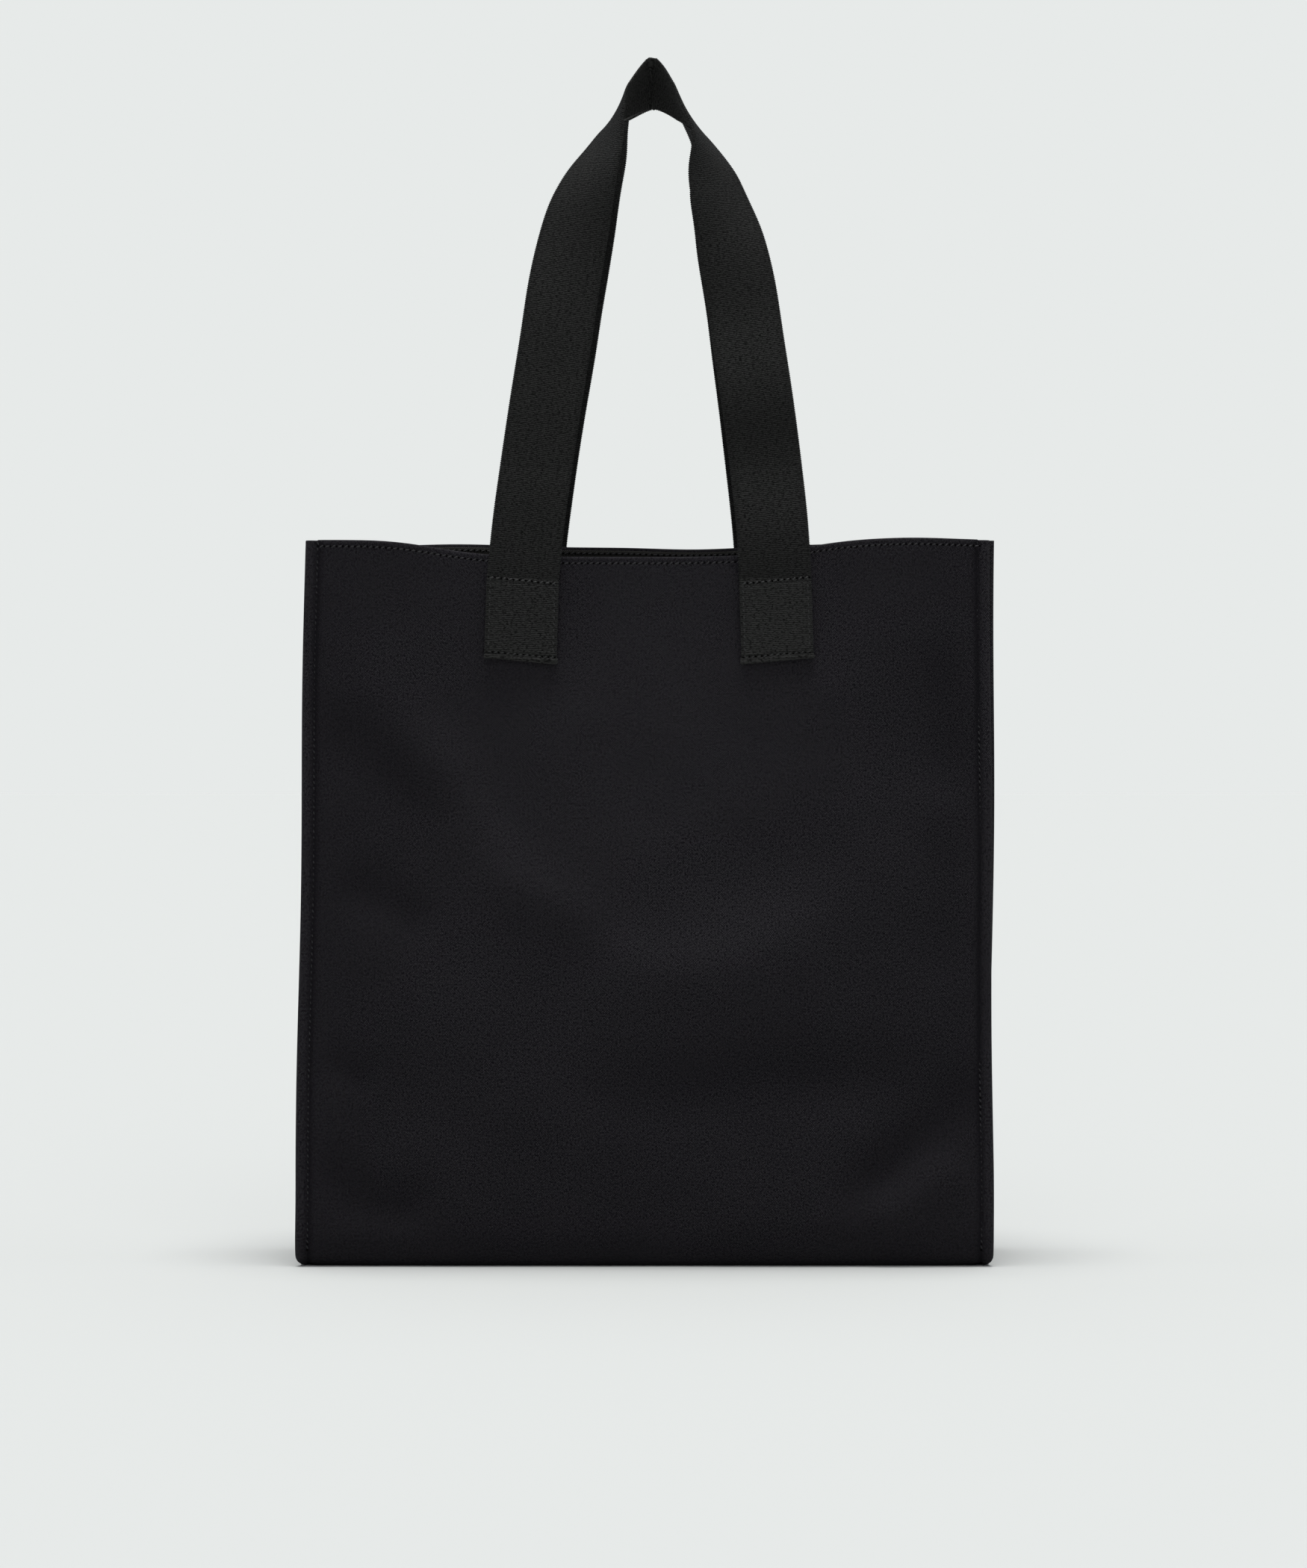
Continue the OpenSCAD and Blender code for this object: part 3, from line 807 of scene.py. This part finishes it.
# %% Cross-section of the webbing
rim = [(-20, 0), (-19.7, .45), (-18.8, .8), (-16, .9), (-8, .9), (0, .9), (8, .9), (16, .9), (18.8, .8),
       (19.7, .45)]
section = np.array(rim + [(-a, -b) for a, b in rim])
strap_points = (path[:, None] + outward[:, None] * section[None, :, :1] * wider
                + facing[:, None] * section[None, :, 1:])
section_u = np.concatenate([[0], np.cumsum(np.hypot(*np.diff(section, axis=0, append=section[:1]).T))])
turned_u = np.append(section_u[-2::-1], section_u[-2] - section_u[-1])
selvedge = np.broadcast_to((np.abs(section[:, 0]) > 18.5).astype(float), strap_points.shape[:2])
print("section of", len(section), "points")

# %% Where the webbing is drawn lighter
# Lighter on the sewn ends, most of all on the right one, with painted light on the crown, and uneven along
# its length.
SEWN = 2 * END_LONG  # webbing used up by one turned-under end
from_left_end, from_right_end = at[:, None], WEB_CUT - at[:, None]
strap_tone_and_light = (0.79 + 0.36 * (1 - rise(SEWN - 4, SEWN, from_left_end))
              + 0.58 * (1 - rise(SEWN - 4, SEWN, from_right_end))
              + 0.5 * mound(from_left_end, WEB_CUT / 2, 22)
              + 0.5 * rumple(at[:, None], 0 * at[:, None], 45, 8))
print("faded by", round(float(strap_tone_and_light.min()), 2), "to", round(float(strap_tone_and_light.max()), 2))

# %% [markdown]
# The ribs are real relief, laid on by Geometry Nodes: every point moves in or out by a wave along the
# webbing. The same tree serves both handles.

# %% Helpers for Geometry Nodes


def new_tree(name, inputs):
    """An empty Geometry Nodes tree with a geometry input and output, and named inputs with their values."""
    t = bpy.data.node_groups.new(name, "GeometryNodeTree")
    t.interface.new_socket("Geometry", in_out="INPUT", socket_type="NodeSocketGeometry")
    for key, (kind, value) in inputs.items():
        s = t.interface.new_socket(key, in_out="INPUT", socket_type="NodeSocket" + kind)
        if value is not None:
            s.default_value = value
    t.interface.new_socket("Geometry", in_out="OUTPUT", socket_type="NodeSocketGeometry")
    return t, t.nodes.new("NodeGroupInput").outputs, t.nodes.new("NodeGroupOutput").inputs


def run_tree(source, t, name, values):
    """Evaluates the tree on an object with these values, and returns the plain mesh as a new object."""
    m = source.modifiers.new("tree", "NODES")
    m.node_group = t
    for item in t.interface.items_tree:
        if item.in_out == "INPUT" and item.name in values:
            m[item.identifier] = values[item.name]
    bpy.context.view_layer.update()
    graph = bpy.context.evaluated_depsgraph_get()
    mesh = bpy.data.meshes.new_from_object(source.evaluated_get(graph))
    mesh.name = name
    source.modifiers.remove(m)
    made = bpy.data.objects.new(name, mesh)
    scene.collection.objects.link(made)
    bpy.data.objects.remove(source)
    return made


def named(t, name, kind="FLOAT"):
    """A number or a direction that the mesh carries at each point."""
    return node(t, "GeometryNodeInputNamedAttribute", {"Name": name}, data_type=kind).outputs["Attribute"]


def painted(t, geometry, finish, where=True):
    """The geometry with this finish, on all of it or where a mark says so."""
    values = {"Geometry": geometry, "Selection": where, "Material": finish}
    return node(t, "GeometryNodeSetMaterial", values).outputs[0]


# %% Rib tree
RIB_HEIGHT = 0.1
rib_tree, given, result = new_tree("webbing_ribs", {
    "Rib": ("Float", RIB / MM), "Height": ("Float", RIB_HEIGHT * MM), "Finish": ("Material", None)})
turns = maths(rib_tree, "DIVIDE", named(rib_tree, "distance"), given["Rib"])
wave = maths(rib_tree, "SINE", maths(rib_tree, "MULTIPLY", turns, 2 * math.pi))
more = maths(rib_tree, "MULTIPLY_ADD", named(rib_tree, "selvedge"), 1.4, 1.0)
lift = maths(rib_tree, "MULTIPLY", maths(rib_tree, "MULTIPLY", wave, more), given["Height"])
outwards = node(rib_tree, "GeometryNodeInputNormal").outputs[0]
offset = node(rib_tree, "ShaderNodeVectorMath", {0: outwards, "Scale": lift}, operation="SCALE").outputs[0]
moved = node(rib_tree, "GeometryNodeSetPosition", {"Geometry": given["Geometry"], "Offset": offset})
real = node(rib_tree, "GeometryNodeRealizeInstances", {0: moved.outputs[0]})
rib_tree.links.new(painted(rib_tree, real.outputs[0], given["Finish"]), result[0])
print("ribs stand out", RIB_HEIGHT, "mm")

# %% Both handles
BACK_SHIFT = 1.5  # the back loop hangs a little further right


def close_ends(mesh, rows_made, columns):
    """Caps the two cut ends of a strap."""
    bm = bmesh.new()
    bm.from_mesh(mesh)
    bm.verts.ensure_lookup_table()
    bm.faces.new([bm.verts[k] for k in range(columns)])
    bm.faces.new([bm.verts[(rows_made - 1) * columns + k] for k in reversed(range(columns))])
    bmesh.ops.recalc_face_normals(bm, faces=bm.faces)
    bm.to_mesh(mesh)
    bm.free()


straps = {}
for face, name in ((FRONT, "front_strap"), (BACK, "back_strap")):
    points = strap_points * np.array([1, -face, 1])
    if face == BACK:
        points[:, :, 0] += BACK_SHIFT * rise(HINGE + 60, HINGE + 180, points[:, :, 2])
    # The back strap is the front one mirrored, so its section runs the other way round.
    order, round_section = (slice(None), section_u) if face == FRONT else (slice(None, None, -1), turned_u)
    # The selvedges are drawn lighter.
    marks = {"distance": np.broadcast_to(at[:, None], points.shape[:2]), "selvedge": selvedge[:, order],
             "worn_and_highlight": 0.3 * selvedge[:, order], "tone_and_painted_light": strap_tone_and_light + 0 * points[:, :, 0]}
    strap_flat = np.stack(np.broadcast_arrays(round_section[None, :], at[:, None]), axis=-1)
    base = cloth(name + "_base", points[:, order], strap_flat, webbing, closed=True, marks=marks)
    close_ends(base.data, len(at), len(section))
    sizes = {"Rib": RIB / MM, "Height": RIB_HEIGHT * MM, "Finish": webbing}
    straps[face] = run_tree(base, rib_tree, name, sizes)
    print(name, len(straps[face].data.polygons), "faces")

# %% [markdown]
# ## Stitches
# A lockstitch shows as a row of short raised dashes, each leaning a little, because the thread is
# twisted, with a needle hole between one and the next. Every row is a line of points on the cloth
# that knows which way is out. One tree walks along such lines at an even step, lays a small rounded
# stitch at each, and sinks a flat dark pit half a step further on, painted shade where the needle
# hole is.

# %% Stitch tree
STITCH_LONG, STITCH_WIDE, SLANT = 2.5, 0.75, math.radians(26)
SEGMENTS, RINGS = 8, 6  # of the ball that a stitch and a hole are made of
stitch_tree, given, result = new_tree("lockstitches", {
    "Step": ("Float", STITCH_STEP * MM), "Length": ("Float", STITCH_LONG * MM),
    "Width": ("Float", STITCH_WIDE * MM), "Slant": ("Float", SLANT),
    "Finish": ("Material", None), "Hole Finish": ("Material", None)})
line_node = node(stitch_tree, "GeometryNodeMeshToCurve", {"Mesh": given["Geometry"]})
walk = node(stitch_tree, "GeometryNodeResampleCurve", {
    "Curve": line_node.outputs[0], "Length": given["Step"]}, mode="LENGTH")
forward = node(stitch_tree, "GeometryNodeInputTangent").outputs[0]
along_line = node(stitch_tree, "FunctionNodeAlignRotationToVector", {"Vector": forward}, axis="X")
upright = node(stitch_tree, "FunctionNodeAlignRotationToVector", {
    "Rotation": along_line.outputs[0], "Vector": named(stitch_tree, "out_of_cloth", "FLOAT_VECTOR")},
    axis="Z", pivot_axis="X")
uneven = node(stitch_tree, "FunctionNodeRandomValue", {2: 0.3, 3: 1.7, "Seed": 4}, data_type="FLOAT")
slant_turn = node(stitch_tree, "FunctionNodeAxisAngleToRotation", {
    "Axis": (0, 0, 1), "Angle": maths(stitch_tree, "MULTIPLY", given["Slant"], uneven.outputs[1])})
leaning = node(stitch_tree, "FunctionNodeRotateRotation", {
    0: upright.outputs[0], 1: slant_turn.outputs[0]}, rotation_space="LOCAL")
ball = node(stitch_tree, "GeometryNodeMeshUVSphere", {"Segments": SEGMENTS, "Rings": RINGS, "Radius": 0.5})
sized = node(stitch_tree, "ShaderNodeCombineXYZ", {0: given["Length"], 1: given["Width"], 2: given["Width"]})
raised = node(stitch_tree, "GeometryNodeInstanceOnPoints", {
    "Points": walk.outputs[0], "Instance": ball.outputs[0], "Rotation": leaning.outputs[0],
    "Scale": sized.outputs[0]})
print("stitches", STITCH_STEP, "mm apart")

# %% Needle holes in the stitch tree
# The same ball, flattened. It is moved in its own space, which is as small as the hole's scale.
PIT_LONG, PIT_WIDE, PIT_DEEP = 1.25, 1.1, 0.42
pits = node(stitch_tree, "GeometryNodeInstanceOnPoints", {
    "Points": walk.outputs[0], "Instance": ball.outputs[0], "Rotation": upright.outputs[0],
    "Scale": (PIT_LONG * MM, PIT_WIDE * MM, PIT_DEEP * MM)})
half_step = node(stitch_tree, "ShaderNodeCombineXYZ", {
    0: maths(stitch_tree, "MULTIPLY", given["Step"], 0.5 / (PIT_LONG * MM)), 2: -0.1})
shifted = node(stitch_tree, "GeometryNodeTranslateInstances", {
    "Instances": pits.outputs[0], "Translation": half_step.outputs[0]})
is_pit = node(stitch_tree, "GeometryNodeStoreNamedAttribute", {
    0: shifted.outputs[0], "Name": "needle_hole", "Value": True}, data_type="BOOLEAN", domain="INSTANCE")
together = node(stitch_tree, "GeometryNodeJoinGeometry", {0: raised.outputs[0]})
stitch_tree.links.new(is_pit.outputs[0], together.inputs[0])
real = node(stitch_tree, "GeometryNodeRealizeInstances", {0: together.outputs[0]})
all_yarn = painted(stitch_tree, real.outputs[0], given["Finish"])
is_hole = named(stitch_tree, "needle_hole", "BOOLEAN")
stitch_tree.links.new(painted(stitch_tree, all_yarn, given["Hole Finish"], is_hole), result[0])
print("needle holes", PIT_LONG, "mm long")

# %% Rows of stitches


def stitch_rows(name, lines, yarn, wide=STITCH_WIDE):
    """Stitches along several lines; each is a list of points in mm and one of directions out of the cloth."""
    points, edges, ways = [], [], []
    for places, out_ways in lines:
        start = len(points)
        points += [tuple(p * MM) for p in np.asarray(places)]
        ways += [tuple(w) for w in np.broadcast_to(out_ways, np.shape(places))]
        edges += [(k, k + 1) for k in range(start, len(points) - 1)]
    mesh = bpy.data.meshes.new(name + "_lines")
    mesh.from_pydata(points, edges, [])
    mesh.attributes.new("out_of_cloth", "FLOAT_VECTOR", "POINT").data.foreach_set("vector", np.ravel(ways))
    source = bpy.data.objects.new(name + "_lines", mesh)
    scene.collection.objects.link(source)
    made = run_tree(source, stitch_tree, name, {
        "Step": STITCH_STEP * MM, "Length": STITCH_LONG * MM, "Width": wide * MM, "Slant": SLANT,
        "Finish": yarn, "Hole Finish": hole_shade})
    made.data.shade_smooth()
    print(name, len(made.data.polygons) // (2 * SEGMENTS * RINGS), "stitches")
    return made


# %% Stitches of the mouth hem


def on_face(x, z_nominal, face, sunk):
    """A place on the outer side of the front or back cloth; sunk is how deep below its face."""
    x = np.asarray(x, float)
    z = np.broadcast_to(np.asarray(z_nominal, float), x.shape)
    y = face * (FACE + CLOTH / 2 + swell(x, z, face) - sunk)
    return np.stack([x, y, z + droop(x, z, face)], axis=-1)


HEM_ROW = 3.2  # from the mouth edge down to the stitches
hem_x, hem_y = steps(-182, 182, 2.5), steps(-52, 52, 2.5)
hem_lines = []
for face in (FRONT, BACK):
    hem_lines.append((on_face(hem_x, MOUTH - HEM_ROW, face, 0.12), (0, face, 0)))
    inside = on_face(hem_x[3:-3], MOUTH - HEM_ROW, face, CLOTH + LAYER + 1.35)
    hem_lines.append((inside, (0, -face, 0)))
for side in (LEFT, RIGHT):
    z = np.full_like(hem_y, MOUTH - HEM_ROW)
    x = middle_seam(side, z) - SIDE_INSET - side_bow(hem_y, z) + 0.5
    hem_lines.append((np.stack([side * x, hem_y, z], axis=-1), (side, 0, 0)))
hem_stitches = stitch_rows("mouth_stitches", hem_lines, seam_thread)

# %% Stitches of the side seams
VALLEY = 0.72  # how far in from the panel's plane the stitches lie
BOTTOM_OUT, BOTTOM_UP = 2.6, 5.0  # the row below, out from the seam and up from the floor
seam_stitches = {}
for side, name in ((LEFT, "left_seam_stitches"), (RIGHT, "right_seam_stitches")):
    lines = []
    for face in (FRONT, BACK):
        z = steps(MOUTH - 1.5, 11, 3)
        edge = outline(side, face * FACE, z) - SEAM_WIDTH
        corner_y = FACE - TURN * (1 - np.sqrt(1 - np.clip(1 - (z - FLOOR_GAP) / TURN_UP, 0, 1) ** 2))
        y = face * (corner_y - VALLEY)
        lines.append((np.stack([side * edge, y, z + droop(side * edge, z, face)], axis=-1), (0, face, 0)))
    y = steps(-FACE + TURN + 4, FACE - TURN - 4, 3)
    edge = outline(side, y, 0 * y) - SEAM_WIDTH
    lines.append((np.stack([side * (edge + BOTTOM_OUT), y, 0 * y + BOTTOM_UP], axis=-1), (0, 0, 1)))
    seam_stitches[side] = stitch_rows(name, lines, seam_thread)

# %% Stitched boxes on the ends of the webbing
SUNK = 0.38  # how deep the two upright rows are pulled into the webbing
THICK = 0.95  # width of these stitches, in thicker thread
box_stitches = {}
for side, side_name in ((LEFT, "left"), (RIGHT, "right")):
    centre, wide, _ = end_rows(side)
    outer = slice(len(centre) // 2 + 5, None)
    level, spots, spans = HINGE - centre[outer, 2], centre[outer], wide[outer]
    order = np.argsort(level)

    def on_end(down, across_it):
        """A place on the outer face of this sewn end."""
        p = np.stack([np.interp(down, level[order], spots[order, k]) for k in range(3)], axis=-1)
        return p + spans[0] * np.asarray(across_it)[:, None] + np.array([0, -WEB_T / 2 - 0.02, 0])

    corners = [(BOX_TOP, -BOX_HALF), (BOX_TOP, BOX_HALF), (BOX_LOW, BOX_HALF), (BOX_LOW, -BOX_HALF),
               (BOX_TOP, -BOX_HALF)]
    for face, face_name in ((FRONT, "front"), (BACK, "back")):
        lines = []
        for (d0, a0), (d1, a1) in zip(corners, corners[1:]):
            t = np.linspace(0.02, 0.98, 16)
            buried = SUNK if a0 == a1 else 0.0
            places = on_end(d0 + (d1 - d0) * t, a0 + (a1 - a0) * t) + (0, buried, 0)
            lines.append((places * np.array([1, -face, 1]), (0, face, 0)))
        name = f"{face_name}_{side_name}_end_stitches"
        box_stitches[face_name, side_name] = stitch_rows(name, lines, thread, wide=THICK)

# %% [markdown]
# ## Joining the pieces to the part
# Everything that is sewn to the body rides on it, apart from the handles, and the solids that the
# pieces take the place of are hidden. A handle bends where it leaves its sewn ends; its mesh stays
# where it is made.

# %% Bodies and replaced solids
for piece, solid, slot in (
        (panel, "main_panel", "canvas"), (side_pieces[LEFT], "left_gusset", "canvas"),
        (side_pieces[RIGHT], "right_gusset", "canvas"), (tape, "mouth_tape", "tape"),
        (hem_stitches, "mouth_hem_stitching", "thread"),
        (seam_stitches[LEFT], "left_seam_stitching", "thread"),
        (seam_stitches[RIGHT], "right_seam_stitching", "thread")):
    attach(piece, "bag")
    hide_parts(solid)
for (face_name, side_name), piece in box_stitches.items():
    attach(piece, "bag")
    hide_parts(f"{face_name}_{side_name}_end_stitching")
for face, face_name in ((FRONT, "front"), (BACK, "back")):
    strap = straps[face]
    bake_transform(strap)
    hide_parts(face_name + "_handle", face_name + "_left_end", face_name + "_right_end")
